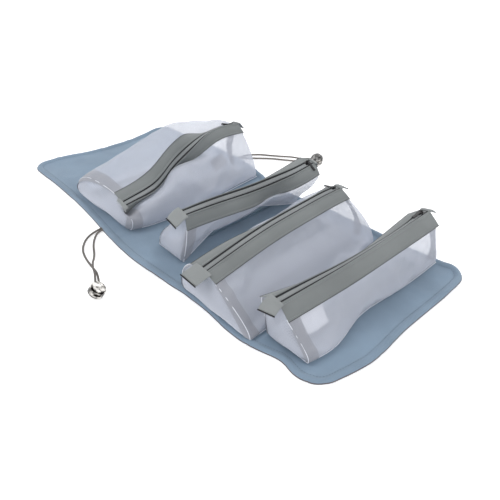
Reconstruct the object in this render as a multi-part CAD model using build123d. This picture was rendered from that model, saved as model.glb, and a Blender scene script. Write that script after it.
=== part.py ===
from build123d import *

import math
import os
from dataclasses import dataclass

# Roll-up hanging toiletry bag, laid open on its back. Millimetres.
# +X runs along the mat from its far end, +Y across it and +Z up, away from the surface it lies on.
# The origin is the middle of the mat's underside. "Left" is the -Y edge and "right" the +Y edge.

# Mat: two layers of thin cloth with a drawstring tunnel sewn round the edge
MAT_LENGTH = 646
MAT_WIDTH = 280
MAT_CORNER_R = 30
CLOTH_T = 1.0
HEM_WIDTH = 14
HEM_HEIGHT = 4.2
CHANNEL_D = 3.2
CHANNEL_Z = HEM_HEIGHT / 2
CLOTH_GAP = 3.0  # bare thread between two panels, where the mat folds
HEM_SPARE = 0.5  # room left between two hems when a fold is closed

# The mat's panels, from the far end, and how far each fold closes towards the pouches
PANELS = ["far_flap", "panel_1", "panel_2", "panel_3", "panel_4"]
FOLD_X = [-212, -28, 66, 218.5]
FOLD_IN_DEG = [106, 55, 14, 23]

# Hook-and-loop strips that hold the pouches on the mat
LOOP_T = 1.8
HOOK_T = 1.8
STRIP_WIDTH = 25
STRIP_INSET = 12  # from each end of the pouch

# Mesh pouches
MESH_T = 0.8
BASE_Z = CLOTH_T + LOOP_T + HOOK_T
EDGE_STRIP_WIDTH = 18
ZIP_WIDTH = 10
ZIP_GAP = 2.6
TAB_WIDTH = 26
TAB_T = 1.2
LABEL_T = 0.4

# Zip slider and pull
SLIDER_LENGTH = 9
SLIDER_CLEARANCE = 0.4
SLIDER_TOP_HALF = 4.0
SLIDER_UNDER_HALF = 3.2
SLIDER_NECK_HALF = 0.9
SLIDER_TOP_T = 1.2
SLIDER_UNDER_T = 1.0
SLIDER_END = 10  # from the pouch's end to the slider's middle
BAR_HEIGHT = 3.8  # bail bar above the zip's outer face
BAR_R = 0.6
BAIL_HALF = 2.5
POST_LENGTH = 1.2
POST_T = 1.0
PULL_RING_R = 1.7
PULL_HOLE_R = 0.95
PULL_RING_WIDTH = 2.4
PULL_LENGTH = 17.5
PULL_WIDTH = 3.4
PULL_T = 1.0

# Drawstring and cord locks
CORD_D = 2.8
CORD_LEFT_X = -85  # where the two strands leave the hem on the left
CORD_RIGHT_X = -122
STRAND_HALF_GAP = 2.0  # half the distance between the two strands as they leave the hem
ELBOW_RUN = 12
ELBOW_R = 5
NOTCH_HALF = 11
NOTCH_Z = (0.5, 3.7)
LOCK_R = 10
LOCK_WALL = 1.2
LOCK_FLOOR = 1.0
LOCK_HEIGHT = 8.6
LOCK_STRAND_HALF = 2.4  # half the distance between the strands inside the lock
LOCK_STRAND_Z = 5.6  # strands above the lock's underside
LOCK_SLOT_HALF = 4.3
LOCK_SLOT_Z = (3.7, 7.5)
LOCK_STRAIGHT = 24  # straight strand on the mat's side of the lock's middle
LOCK_TAIL = 8  # strand beyond the lock's middle
PLUNGER_R = 8.3
PLUNGER_Z = (3.0, 11.4)
PLUNGER_SLOT_Z = (3.9, 9.0)
SPRING_WIRE_D = 0.5
SPRING_RADII = (3.0, 6.5)
SPRING_TURNS = 1.75
SPRING_STEPS = 8  # points in a turn


@dataclass
class Pouch:
    """One zipped mesh pouch. In each pair the first value is its left end and the second its right end."""

    number: int
    back_x: tuple
    front_x: tuple
    base_y: tuple
    ridge: tuple
    tilt: float  # slope of the zip towards the front, in degrees
    droop: float  # slope of each edge strip away from the zip
    pull_turn: float  # where the pull points, in degrees from +X towards +Y
    pull_droop: float
    strips_x: tuple
    tab_lengths: tuple
    tab_drops: tuple  # degrees below the zip's line

    @property
    def across(self):
        """Direction across the zip, from back to front."""
        return Vector(math.cos(math.radians(self.tilt)), 0, math.sin(math.radians(self.tilt)))

    @property
    def along(self):
        """Direction along the zip, from left to right."""
        return (Vector(*self.ridge[1]) - Vector(*self.ridge[0])).normalized()

    @property
    def outward(self):
        """Direction out of the zip's outer face."""
        return self.across.cross(self.along).normalized()

    @property
    def travel(self):
        return (Vector(*self.ridge[1]) - Vector(*self.ridge[0])).length - 2 * SLIDER_END

    def outline(self, end):
        """Outer (x, z) loop at one end, counter-clockwise from the back lower corner."""
        middle = Vector(self.ridge[end][0], self.ridge[end][2])
        slope = math.radians(self.tilt)
        half_zip = Vector(math.cos(slope), math.sin(slope)) * ZIP_WIDTH / 2
        front_slope = slope - math.radians(self.droop)
        back_slope = slope + math.radians(self.droop)
        front_strip = Vector(math.cos(front_slope), math.sin(front_slope)) * EDGE_STRIP_WIDTH
        back_strip = Vector(math.cos(back_slope), math.sin(back_slope)) * EDGE_STRIP_WIDTH
        return [
            Vector(self.back_x[end], BASE_Z),
            Vector(self.front_x[end], BASE_Z),
            middle + half_zip + front_strip,
            middle + half_zip,
            middle - half_zip,
            middle - half_zip - back_strip,
        ]

    def place(self, end, corner):
        """Puts an (x, z) corner in the pouch's end plane, which leans from the base line to the ridge."""
        _, ridge_y, ridge_z = self.ridge[end]
        lean = (ridge_y - self.base_y[end]) / (ridge_z - BASE_Z)
        return Vector(corner.X, self.base_y[end] + lean * (corner.Y - BASE_Z), corner.Y)

    def ridge_point(self, distance):
        """Point on the middle of the zip's outer face, a distance from its left end."""
        return Vector(*self.ridge[0]) + self.along * distance

    def on_gusset(self, end, corner):
        """Point on the outer face of an end gusset."""
        return self.place(end, corner) + Vector(0, (-MESH_T, MESH_T)[end], 0)


POUCHES = [
    Pouch(
        number=1,
        back_x=(-200, -200),
        front_x=(-55, -55),
        base_y=(-115, 120),
        ridge=((-70, -112, 38), (-105, 125, 76)),
        tilt=-15,
        droop=20,
        pull_turn=210,
        pull_droop=12,
        strips_x=(-172, -84),
        tab_lengths=(8, 14),
        tab_drops=(90, 60),
    ),
    Pouch(
        number=2,
        back_x=(2, 2),
        front_x=(56, 56),
        base_y=(-104, 108),
        ridge=((44, -92, 68), (60, 128, 70)),
        tilt=-10,
        droop=45,
        pull_turn=0,
        pull_droop=22,
        strips_x=(16,),
        tab_lengths=(20, 8),
        tab_drops=(20, 90),
    ),
    Pouch(
        number=3,
        back_x=(98, 75),
        front_x=(216, 194),
        base_y=(-134, 110),
        ridge=((138, -134, 54), (124, 112, 60)),
        tilt=0,
        droop=20,
        pull_turn=180,
        pull_droop=12,
        strips_x=(115, 176),
        tab_lengths=(20, 14),
        tab_drops=(10, 30),
    ),
    Pouch(
        number=4,
        back_x=(221, 221),
        front_x=(276, 276),
        base_y=(-112, 135),
        ridge=((231, -112, 57), (243, 138, 67)),
        tilt=0,
        droop=45,
        pull_turn=270,
        pull_droop=5,
        strips_x=(248.5,),
        tab_lengths=(22, 14),
        tab_drops=(50, 30),
    ),
]

LABEL_POUCH = 4
LABEL_ALONG = (0.06, 0.18)  # shares of the pouch's length
LABEL_UP = (0.2, 0.75)  # shares of the front panel's height


def ruled(first, second):
    """Solid between two loops of corners, joined by straight lines."""
    return Solid.make_loft([Wire.make_polygon(first), Wire.make_polygon(second)], ruled=True)


def mitred_inset(loop, depth):
    """Moves the corners of a counter-clockwise (x, z) loop inwards, for walls that are depth thick."""
    inner = []
    for i, corner in enumerate(loop):
        arriving = (corner - loop[i - 1]).normalized()
        leaving = (loop[(i + 1) % len(loop)] - corner).normalized()
        normals = Vector(-arriving.Y, arriving.X) + Vector(-leaving.Y, leaving.X)
        inner.append(corner + normals * depth / (1 + arriving.dot(leaving)))
    return inner


def box_between(low, high):
    size = Vector(*high) - Vector(*low)
    return Pos(*(Vector(*low) + size / 2)) * Box(size.X, size.Y, size.Z)


def fillet_radii(points):
    """Largest rounding that each inner corner of a route has room for."""
    radii = []
    for i in range(1, len(points) - 1):
        arriving = Vector(*points[i]) - Vector(*points[i - 1])
        leaving = Vector(*points[i + 1]) - Vector(*points[i])
        half_turn = math.radians(arriving.get_angle(leaving)) / 2
        radii.append(0.45 * min(arriving.length, leaving.length) / math.tan(half_turn))
    return radii


def tube(points, diameter, radii):
    """Round tube along straight runs joined by tangent arcs."""
    path = FilletPolyline(*points, radius=radii)
    section = Plane(origin=path @ 0, z_dir=path % 0) * Circle(diameter / 2)
    return sweep(section, path)


# ---------------------------------------------------------------- mat


def panel_span(index):
    """The x range that a panel has between its two folds."""
    edges = [-MAT_LENGTH / 2, *FOLD_X, MAT_LENGTH / 2]
    return edges[index], edges[index + 1]


def hem_relief(fold):
    """How far each hem stops short of a fold, so that the two hems clear each other when it is closed."""
    half_turn = math.radians(FOLD_IN_DEG[fold]) / 2
    return max(CLOTH_GAP / 2, (HEM_HEIGHT - CLOTH_T / 2) * math.tan(half_turn) + HEM_SPARE)


def hem_span(index):
    """The x range that a panel's hem has, clear of the folds on its two sides."""
    low, high = panel_span(index)
    if index > 0:
        low += hem_relief(index - 1)
    if index < len(FOLD_X):
        high -= hem_relief(index)
    return low, high


def rounded_slab(inset, height):
    face = RectangleRounded(MAT_LENGTH - 2 * inset, MAT_WIDTH - 2 * inset, MAT_CORNER_R - inset)
    return extrude(face, height)


def hem_pipe(diameter):
    """Tube that runs all round in the middle of the hem."""
    inset = HEM_WIDTH / 2
    track = Wire(
        RectangleRounded(
            MAT_LENGTH - 2 * inset, MAT_WIDTH - 2 * inset, MAT_CORNER_R - inset
        ).edges()
    ).moved(Pos(0, 0, CHANNEL_Z))
    section = Plane(origin=track @ 0, z_dir=track % 0) * Circle(diameter / 2)
    return sweep(section, track)


def cord_exits():
    """(x, side) of each place where two strands leave the hem; side is -1 for left and 1 for right."""
    return [(CORD_LEFT_X, -1), (CORD_RIGHT_X, 1)]


def exit_notch(x, side):
    """Opening in the hem's outer wall that both strands come out of."""
    edge = side * MAT_WIDTH / 2
    middle = side * (MAT_WIDTH - HEM_WIDTH) / 2
    low = (x - NOTCH_HALF, min(edge, middle), NOTCH_Z[0])
    high = (x + NOTCH_HALF, max(edge, middle), NOTCH_Z[1])
    return box_between(low, high)


def across_mat(low_x, high_x, low_z, high_z):
    """Block that reaches past both long edges."""
    return box_between((low_x, -MAT_WIDTH, low_z), (high_x, MAT_WIDTH, high_z))


def mat_panels():
    """Each panel is its cloth and its stretch of hem, in one piece."""
    channel = hem_pipe(CHANNEL_D)
    for x, side in cord_exits():
        channel += exit_notch(x, side)
    cloth = rounded_slab(0, CLOTH_T)
    hem = rounded_slab(0, HEM_HEIGHT) - rounded_slab(HEM_WIDTH, HEM_HEIGHT)
    panels = {}
    for index, name in enumerate(PANELS):
        low, high = panel_span(index)
        low += CLOTH_GAP / 2 if index > 0 else 0
        high -= CLOTH_GAP / 2 if index < len(FOLD_X) else 0
        cloth_part = cloth & across_mat(low, high, 0, CLOTH_T)
        hem_part = hem & across_mat(*hem_span(index), 0, HEM_HEIGHT)
        panels["mat_" + name] = cloth_part + hem_part - channel
    return panels


def cord_elbow(x, side, turn):
    """One strand's bend from the hem's channel out through the notch; turn is -1 or 1 along X."""
    channel_y = side * (MAT_WIDTH - HEM_WIDTH) / 2
    exit_x = x + turn * STRAND_HALF_GAP
    points = [
        (exit_x + turn * ELBOW_RUN, channel_y, CHANNEL_Z),
        (exit_x, channel_y, CHANNEL_Z),
        (exit_x, side * MAT_WIDTH / 2, CHANNEL_Z),
    ]
    return tube(points, CORD_D, [ELBOW_R])


def hem_cords():
    """The drawstring inside the hem, one piece to a panel and side."""
    pipe = hem_pipe(CORD_D)
    cleared = STRAND_HALF_GAP + ELBOW_RUN
    for x, side in cord_exits():
        edge = side * MAT_WIDTH
        low = (x - cleared, min(0, edge), 0)
        high = (x + cleared, max(0, edge), HEM_HEIGHT)
        pipe -= box_between(low, high)
    cords = {}
    for index, name in enumerate(PANELS):
        low, high = hem_span(index)
        cords["hem_cord_" + name] = pipe & across_mat(low, high, 0, HEM_HEIGHT)
    exits = [cord_elbow(x, side, turn) for x, side in cord_exits() for turn in (-1, 1)]
    cords["hem_cord_panel_1"] += exits
    return cords


# ---------------------------------------------------------------- pouches


def strip_boxes(pouch, low_z, thickness):
    """Hook or loop strips under a pouch."""
    low_y = max(pouch.base_y[0], HEM_WIDTH - MAT_WIDTH / 2) + STRIP_INSET
    high_y = min(pouch.base_y[1], MAT_WIDTH / 2 - HEM_WIDTH) - STRIP_INSET
    return [
        box_between(
            (x - STRIP_WIDTH / 2, low_y, low_z), (x + STRIP_WIDTH / 2, high_y, low_z + thickness)
        )
        for x in pouch.strips_x
    ]


def zip_profile(pouch, distance, corners):
    """Corners given as (across, outward) from the ridge, in the upright plane at a distance along it."""
    middle = pouch.ridge_point(distance)
    upright = Vector(-pouch.across.Z, 0, pouch.across.X)
    return [middle + pouch.across * a + upright * h for a, h in corners]


def pouch_walls(pouch):
    """Base, sides, edge strips and zip tapes: mitred walls of one closed section, ruled from end to end."""
    outer = [pouch.outline(end) for end in (0, 1)]
    inner = [mitred_inset(loop, MESH_T) for loop in outer]

    def wall(first, second):
        loops = []
        for end in (0, 1):
            corners = [outer[end][first], outer[end][second], inner[end][second], inner[end][first]]
            loops.append([pouch.place(end, c) for c in corners])
        return ruled(*loops)

    def tape(edge, other_edge):
        share = (ZIP_WIDTH - ZIP_GAP) / 2 / ZIP_WIDTH
        loops = []
        for end in (0, 1):
            out_edge, out_other = outer[end][edge], outer[end][other_edge]
            in_edge, in_other = inner[end][edge], inner[end][other_edge]
            rim = out_edge + (out_other - out_edge) * share
            upright = (in_edge - out_edge).dot(Vector(-pouch.across.Z, pouch.across.X))
            rim_inside = rim + Vector(-pouch.across.Z, pouch.across.X) * upright
            loops.append([pouch.place(end, c) for c in (out_edge, rim, rim_inside, in_edge)])
        return ruled(*loops)

    return {
        "base": [wall(0, 1)],
        "sides": [wall(1, 2), wall(5, 0)],
        "strips": [wall(2, 3), wall(4, 5)],
        "zip": [tape(3, 4), tape(4, 3)],
    }


def pouch_ends(pouch):
    """Flat gusset that closes each end."""
    gussets = []
    for end in (0, 1):
        outline = pouch.outline(end)
        inside = [pouch.place(end, c) for c in outline]
        gussets.append(ruled(inside, [pouch.on_gusset(end, c) for c in outline]))
    return gussets


def pouch_tabs(pouch):
    """Folded cloth tab on each end of the zip. A tab that drops by 90 degrees lies against the gusset."""
    tabs = []
    for end, side in ((0, -1), (1, 1)):
        root = Vector(pouch.ridge[end][0], pouch.ridge[end][2])
        half = Vector(pouch.across.X, pouch.across.Z) * TAB_WIDTH / 2
        length = pouch.tab_lengths[end]
        if pouch.tab_drops[end] == 90:
            low = root - Vector(0, length)
            reach = Vector(0, side * TAB_T, 0)
        else:
            low = root - Vector(0, TAB_T)
            drop = math.radians(pouch.tab_drops[end])
            reach = Vector(0, side * math.cos(drop), -math.sin(drop)) * length
        flat = [root - half, root + half, low + half, low - half]
        near = [pouch.on_gusset(end, c) for c in flat]
        tabs.append(ruled(near, [c + reach for c in near]))
    return tabs


def slider_body(pouch):
    """Two plates joined by a neck that rides between the tapes, with a bail on top."""
    top = SLIDER_CLEARANCE
    under = -MESH_T - SLIDER_CLEARANCE
    half_section = [
        (SLIDER_TOP_HALF, top + SLIDER_TOP_T),
        (SLIDER_TOP_HALF, top),
        (SLIDER_NECK_HALF, top),
        (SLIDER_NECK_HALF, under),
        (SLIDER_UNDER_HALF, under),
        (SLIDER_UNDER_HALF, under - SLIDER_UNDER_T),
    ]
    section = half_section + [(-a, h) for a, h in reversed(half_section)]
    middle = pouch.travel + SLIDER_END
    plates = ruled(
        zip_profile(pouch, middle - SLIDER_LENGTH / 2, section),
        zip_profile(pouch, middle + SLIDER_LENGTH / 2, section),
    )
    post_height = BAR_HEIGHT - top - SLIDER_TOP_T / 2
    bail = Rot(90, 0, 0) * Cylinder(BAR_R, 2 * BAIL_HALF + POST_T)
    for side in (-1, 1):
        post = Box(POST_LENGTH, POST_T, post_height)
        bail += Pos(0, side * BAIL_HALF, -post_height / 2) * post
    return plates + pull_plane(pouch) * bail


def pull_plane(pouch):
    """Plane at the bail: X points the way the pull lies, Y along the bail's bar and Z out of the zip."""
    turn = math.radians(pouch.pull_turn)
    heading = Vector(math.cos(turn), math.sin(turn), 0)
    heading = heading - pouch.outward * heading.dot(pouch.outward)
    pivot = pouch.ridge_point(pouch.travel + SLIDER_END) + pouch.outward * BAR_HEIGHT
    return Plane(origin=pivot, x_dir=heading.normalized(), z_dir=pouch.outward)


def pull(pouch):
    """Flat pull with a ring round the bail's bar, lying back on the cloth."""
    ring = Rot(90, 0, 0) * Cylinder(PULL_RING_R, PULL_RING_WIDTH)
    ring_edge = (PULL_RING_R + PULL_HOLE_R) / 2
    blade_length = PULL_LENGTH - ring_edge
    blade = Pos(ring_edge + blade_length / 2, 0, 0) * Box(blade_length, PULL_WIDTH, PULL_T)
    whole = ring + blade - Rot(90, 0, 0) * Cylinder(PULL_HOLE_R, 2 * PULL_WIDTH)
    return pull_plane(pouch) * Rot(0, pouch.pull_droop, 0) * whole


def label(pouch):
    """Blank sewn label near the left end of the front panel."""
    loops = []
    for along in LABEL_ALONG:
        edges = []
        for corner in (1, 2):
            left = pouch.place(0, pouch.outline(0)[corner])
            right = pouch.place(1, pouch.outline(1)[corner])
            edges.append(left + (right - left) * along)
        low_edge, high_edge = edges
        rise = high_edge - low_edge
        low, high = [low_edge + rise * share for share in LABEL_UP]
        out = Vector(0, 1, 0).cross(rise).normalized() * LABEL_T
        loops.append([low, high, high + out, low + out])
    return ruled(*loops)


# ---------------------------------------------------------------- cord locks


@dataclass
class CordLock:
    """A round cord lock with the two strands that run through it."""

    side: str
    hole: tuple  # middle of the strands inside the lock
    axis: tuple  # direction that the plunger points in
    heading: tuple  # direction in which the strands enter, along the ground
    routes: tuple  # the free part of each strand, from the hem towards the lock

    @property
    def plane(self):
        """Origin at the middle of the underside, X along the strands and Z along the plunger."""
        axis = Vector(*self.axis).normalized()
        heading = Vector(*self.heading, 0)
        heading = (heading - Vector(0, 0, 1) * heading.dot(axis) / axis.Z).normalized()
        origin = Vector(*self.hole) - axis * LOCK_STRAND_Z
        return Plane(origin=origin, x_dir=heading, z_dir=axis)

    def strand(self, number):
        """All the points of one strand, from the hem's edge to its end inside the lock."""
        offset = (-LOCK_STRAND_HALF, LOCK_STRAND_HALF)[number]
        ends = [
            self.plane.from_local_coords(Vector(x, offset, LOCK_STRAND_Z))
            for x in (-LOCK_STRAIGHT, LOCK_TAIL)
        ]
        return [*self.routes[number], *[tuple(end) for end in ends]]


LOCKS = [
    CordLock(
        side="left",
        hole=(38, -217, 10.6),
        axis=(0.36, 0.40, 0.84),
        heading=(0.85, -0.52),
        routes=(
            [
                (-83, -140, 2.1),
                (-83, -149, 2.1),
                (-74, -160, 1.5),
                (-58, -171, 1.5),
                (-35, -181.5, 2.0),
                (-11, -197.5, 9.0),
            ],
            [
                (-87, -140, 2.1),
                (-87, -151, 2.1),
                (-80, -170, 1.5),
                (-61, -186, 1.5),
                (-40, -192.5, 1.5),
                (-18, -195.5, 2.2),
            ],
        ),
    ),
    CordLock(
        side="right",
        hole=(-18, 231, 9.6),
        axis=(0.25, -0.35, 0.90),
        heading=(0.68, 0.71),
        routes=(
            [
                (-120, 140, 2.1),
                (-120, 149, 2.1),
                (-107, 163, 1.5),
                (-84, 187, 1.5),
                (-56, 203, 2.5),
            ],
            [
                (-124, 140, 2.1),
                (-124, 155, 2.1),
                (-114, 179, 1.5),
                (-86, 199, 1.5),
                (-60, 216, 3.5),
            ],
        ),
    ),
]


def cord_pair(lock):
    """Both free strands, with their lengths and roundings printed."""
    strands = []
    for number in (0, 1):
        points = lock.strand(number)
        radii = fillet_radii(points)
        strand = tube(points, CORD_D, radii)
        length = FilletPolyline(*points, radius=radii).length
        ratio = strand.volume / (math.pi * CORD_D**2 / 4 * length)
        print(f"{lock.side} strand {number}: {length:.1f} long, volume ratio {ratio:.4f}")
        print("  radii", [round(r, 1) for r in radii])
        strands.append(strand)
    return strands


def drum(radius, low_z, high_z):
    return Pos(0, 0, low_z) * Cylinder(
        radius, high_z - low_z, align=(Align.CENTER, Align.CENTER, Align.MIN)
    )


def strand_slot(low_z, high_z):
    """Flat hole right through the lock, wide enough for both strands."""
    reach = 2 * LOCK_R
    return box_between((-reach, -LOCK_SLOT_HALF, low_z), (reach, LOCK_SLOT_HALF, high_z))


def lock_body(lock):
    cup = drum(LOCK_R, 0, LOCK_HEIGHT) - drum(LOCK_R - LOCK_WALL, LOCK_FLOOR, LOCK_HEIGHT)
    return lock.plane * (cup - strand_slot(*LOCK_SLOT_Z))


def lock_plunger(lock):
    return lock.plane * (drum(PLUNGER_R, *PLUNGER_Z) - strand_slot(*PLUNGER_SLOT_Z))


def lock_spring(lock):
    """Flat-closing conical spring under the plunger."""
    low = LOCK_FLOOR + SPRING_WIRE_D / 2
    high = PLUNGER_Z[0] - SPRING_WIRE_D / 2
    steps = round(SPRING_TURNS * SPRING_STEPS)
    points = []
    for i in range(steps + 1):
        share = i / steps
        angle = 2 * math.pi * i / SPRING_STEPS
        radius = SPRING_RADII[1] + (SPRING_RADII[0] - SPRING_RADII[1]) * share
        points.append((radius * math.cos(angle), radius * math.sin(angle), low + (high - low) * share))
    return lock.plane * tube(points, SPRING_WIRE_D, fillet_radii(points))


# ---------------------------------------------------------------- all nodes


def nodes():
    made = {**mat_panels(), **hem_cords()}
    for pouch in POUCHES:
        name = f"pouch_{pouch.number}_"
        made[f"loop_strip_{pouch.number}"] = strip_boxes(pouch, CLOTH_T, LOOP_T)
        made[name + "hook"] = strip_boxes(pouch, CLOTH_T + LOOP_T, HOOK_T)
        for part, solids in pouch_walls(pouch).items():
            made[name + part] = solids
        made[name + "ends"] = pouch_ends(pouch)
        made[name + "tabs"] = pouch_tabs(pouch)
        made[name + "slider"] = slider_body(pouch)
        made[name + "pull"] = pull(pouch)
        if pouch.number == LABEL_POUCH:
            made[name + "label"] = label(pouch)
    for lock in LOCKS:
        made["cord_" + lock.side] = cord_pair(lock)
        made[f"lock_{lock.side}_body"] = lock_body(lock)
        made[f"lock_{lock.side}_plunger"] = lock_plunger(lock)
        made[f"lock_{lock.side}_spring"] = lock_spring(lock)
    return made


def main():
    os.makedirs("parts", exist_ok=True)
    for name, shape in nodes().items():
        solids = shape if isinstance(shape, list) else shape.solids()
        export_step(Compound(children=[Solid(s.wrapped) for s in solids]), f"parts/{name}.step")


if __name__ == "__main__":
    main()
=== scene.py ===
import math
from dataclasses import dataclass

import bmesh
import bpy
import numpy as np
from mathutils import Matrix, Vector, noise


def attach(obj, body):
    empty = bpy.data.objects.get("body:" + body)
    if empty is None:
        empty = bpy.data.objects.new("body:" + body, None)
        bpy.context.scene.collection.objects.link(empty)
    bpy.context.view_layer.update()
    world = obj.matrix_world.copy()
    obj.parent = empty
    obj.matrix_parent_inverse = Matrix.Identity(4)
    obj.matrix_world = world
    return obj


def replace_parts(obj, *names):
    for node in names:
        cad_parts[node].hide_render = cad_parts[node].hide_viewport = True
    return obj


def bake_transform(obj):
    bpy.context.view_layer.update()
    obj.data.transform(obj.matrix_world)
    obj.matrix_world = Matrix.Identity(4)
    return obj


# Roll-up hanging toiletry bag. The shape values below are in millimetres, meshes are in metres.
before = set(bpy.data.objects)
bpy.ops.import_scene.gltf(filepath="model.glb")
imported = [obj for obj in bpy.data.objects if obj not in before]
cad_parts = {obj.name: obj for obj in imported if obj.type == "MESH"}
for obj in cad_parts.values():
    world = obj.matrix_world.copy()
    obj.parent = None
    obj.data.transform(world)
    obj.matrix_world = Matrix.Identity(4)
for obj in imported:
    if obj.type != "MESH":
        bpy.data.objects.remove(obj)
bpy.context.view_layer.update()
MM = 0.001

# Mat, as it lies: where each edge runs. Each pair is (place along the edge, place across it).
MAT_LENGTH = 646
MAT_WIDTH = 280
MAT_CORNER_R = 24
FOLD_X = [-212, -28, 66, 218.5]
CUT_X = [-120, 19, 142]  # seams between the mat's pieces, under the pouches
MAT_PANELS = ["far_flap", "panel_1", "panel_2", "panel_3", "panel_4"]
LEFT_EDGE = [(-300, -133), (-200, -133), (-127, -138), (-40, -147), (30, -147.5), (97, -141),
             (160, -140), (207, -141), (240, -134), (263, -129), (289, -132), (304, -130)]
RIGHT_EDGE = [(-290, 132), (-209, 140), (-150, 145), (-73, 139), (-20, 127.5), (50, 126),
              (110, 134), (166, 139), (230, 140), (276, 144), (306, 149)]
FAR_EDGE = [(-115, -334), (-84, -330), (-51, -322), (-15, -316), (25, -314), (69, -315), (110, -323)]
NEAR_EDGE = [(-128, 311), (-101, 317), (-62, 323), (-7, 320), (57, 318), (91, 317.5), (121, 315), (146, 310)]
CELLS_X, CELLS_Y, CELLS_CORNER = 130, 50, 10  # cells of the cloth's outline along each side and corner
RING_STEPS = 4  # points per cell on the lines that run round the hem
CLOTH_T = 1.0
HEM_WIDTH = 11
EDGE_WIDTH = 0.5  # the dark bound edge
HEM_STITCH, HEM_STITCH_Z = 10.2, 1.95  # distance in from the edge, height
HEM_CORD, HEM_CORD_Z = 5.4, 1.9
# Hem section: (distance in from the edge, top, underside)
HEM_SECTION = [(0, 1.3, 0.7), (0.5, 2.0, 0.3), (1.3, 2.7, 0.1), (2.6, 3.3, 0), (4.2, 3.7, 0), (5.4, 3.7, 0),
               (6.6, 3.4, 0), (8.0, 2.8, 0), (9.0, 2.3, 0), (9.6, 2.0, 0), (10.2, 1.8, 0), (10.8, 1.75, 0),
               (11.4, 1.6, 0), (12.4, 1.35, 0), (14.5, 1.1, 0), (18, CLOTH_T, 0), (MAT_CORNER_R, CLOTH_T, 0)]

# Pouches
BASE_Z = 4.6
STRIP_WIDTH = 18
STRIP_SEAM = 2.7  # from either edge of a strip to its stitching
ZIP_WIDTH = 10
TAPE_SECTION = [(0.5, -0.5), (0.5, 0.0), (2.6, 0.1), (5.6, 0.15), (5.6, -0.4), (2.6, -0.5)]
COIL_TURN = 1.5
COIL_HEIGHTS = (0.5, 0.95, 1.1, 0.95)  # at four places of one turn
COIL_HALF_WIDTHS = (2.5, 2.8, 2.9, 2.8)
SEAM_BAND = 12
# Section of a zip tab: shares of its half width and of its half thickness
TAB_SECTION = [(-1, 0), (-0.97, 0.8), (-0.8, 1), (0, 1.1), (0.8, 1), (0.97, 0.8), (1, 0),
               (0.97, -0.8), (0, -1), (-0.97, -0.8)]

# Drawstring and cord locks
CORD_D = 2.8
LOCK_STRAIGHT = 24
LOCK_TAIL = 8
LOCK_STRAND_HALF = 2.4
LOCK_STRAND_Z = 5.6

# Viewpoint and surroundings, in metres
CAMERA_PLACE = (0.5218, -0.4112, 0.4263)
CAMERA_RIGHT = (0.671, 0.741, 0)
CAMERA_BACK = (0.598, -0.542, 0.590)
CAMERA_LENS = 38.88
FLOOR_REACH, FLOOR_Z = 6000, -0.2  # in millimetres
# Sky: (height of the direction, from 0 level to 1 straight up; brightness)
SKY_LEVELS = [(0.4, 1.3), (0.53, 1.3), (0.57, 0.06), (0.68, 0.08), (0.73, 1.2), (0.84, 1.1)]
LIGHTS = [  # name, place, size, power
    ("key", (-0.9, -1.1, 1.7), 1.0, 16),
    ("fill", (1.3, 0.2, 1.4), 1.6, 10),
    ("back", (-0.4, 1.5, 1.2), 1.4, 8),
]

# Blender's wave texture repeats every WAVE_SCALE / scale, and its Mix node numbers its colour sockets
WAVE_SCALE = 0.314
MIX_A, MIX_B, MIX_RESULT = 6, 7, 2


# ---------------------------------------------------------------- shape helpers


def smooth_curve(keys, values, at):
    """Natural cubic spline through values (numbers or points) at rising keys."""
    keys = np.array(keys, float)
    values = np.array(values, float).reshape(len(keys), -1)
    count = len(keys)
    gap = np.diff(keys)
    system = np.eye(count)
    slopes = np.zeros_like(values)
    for i in range(1, count - 1):
        system[i, i - 1 : i + 2] = gap[i - 1], 2 * (gap[i - 1] + gap[i]), gap[i]
        rise = (values[i + 1] - values[i]) / gap[i] - (values[i] - values[i - 1]) / gap[i - 1]
        slopes[i] = 6 * rise
    bend = np.linalg.solve(system, slopes)
    at = np.clip(np.atleast_1d(np.array(at, float)), keys[0], keys[-1])
    i = np.clip(np.searchsorted(keys, at) - 1, 0, count - 2)
    before, after = (keys[i + 1] - at)[:, None], (at - keys[i])[:, None]
    h = gap[i][:, None]
    straight = (values[i] / h - bend[i] * h / 6) * before + (values[i + 1] / h - bend[i + 1] * h / 6) * after
    return (bend[i] * before**3 + bend[i + 1] * after**3) / (6 * h) + straight


def ease(share):
    """Smooth step from 0 to 1."""
    share = np.clip(share, 0, 1)
    return share * share * (3 - 2 * share)


def ripple(x, y, size, seed):
    """Smooth noise from -1 to 1 at each place, with waves about size wide. All in millimetres."""
    flat = np.stack([np.ravel(x), np.ravel(y)], axis=1) / size
    values = [noise.noise(Vector((a, b, seed * 7.3))) for a, b in flat]
    return np.array(values).reshape(np.shape(x))


def placed(name, data):
    """New object that holds the data, in the scene."""
    made = bpy.data.objects.new(name, data)
    bpy.context.scene.collection.objects.link(made)
    return made


def subdivided(obj):
    smooth = obj.modifiers.new("smooth", "SUBSURF")
    smooth.levels = smooth.render_levels = 1
    return smooth


def mesh_object(name, points, faces, uvs=None):
    """Mesh object from points in millimetres. uvs holds one (u, v) in metres for each point."""
    mesh = bpy.data.meshes.new(name)
    mesh.from_pydata([tuple(p) for p in np.array(points, float) * MM], [], [tuple(f) for f in faces])
    mesh.validate()
    mesh.shade_smooth()
    if uvs is not None:
        layer = mesh.uv_layers.new(name="UVMap")
        corner_vertex = np.zeros(len(mesh.loops), np.int32)
        mesh.loops.foreach_get("vertex_index", corner_vertex)
        layer.data.foreach_set("uv", np.array(uvs, np.float32)[corner_vertex].ravel())
    return placed(name, mesh)


def grid_faces(rows, columns, start=0, closed=False):
    """Quads of a grid of points stored row by row; closed joins the last column to the first."""
    faces = []
    for r in range(rows - 1):
        for c in range(columns if closed else columns - 1):
            right = (c + 1) % columns
            a, b = start + r * columns + c, start + r * columns + right
            faces.append((a, b, b + columns, a + columns))
    return faces


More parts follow.
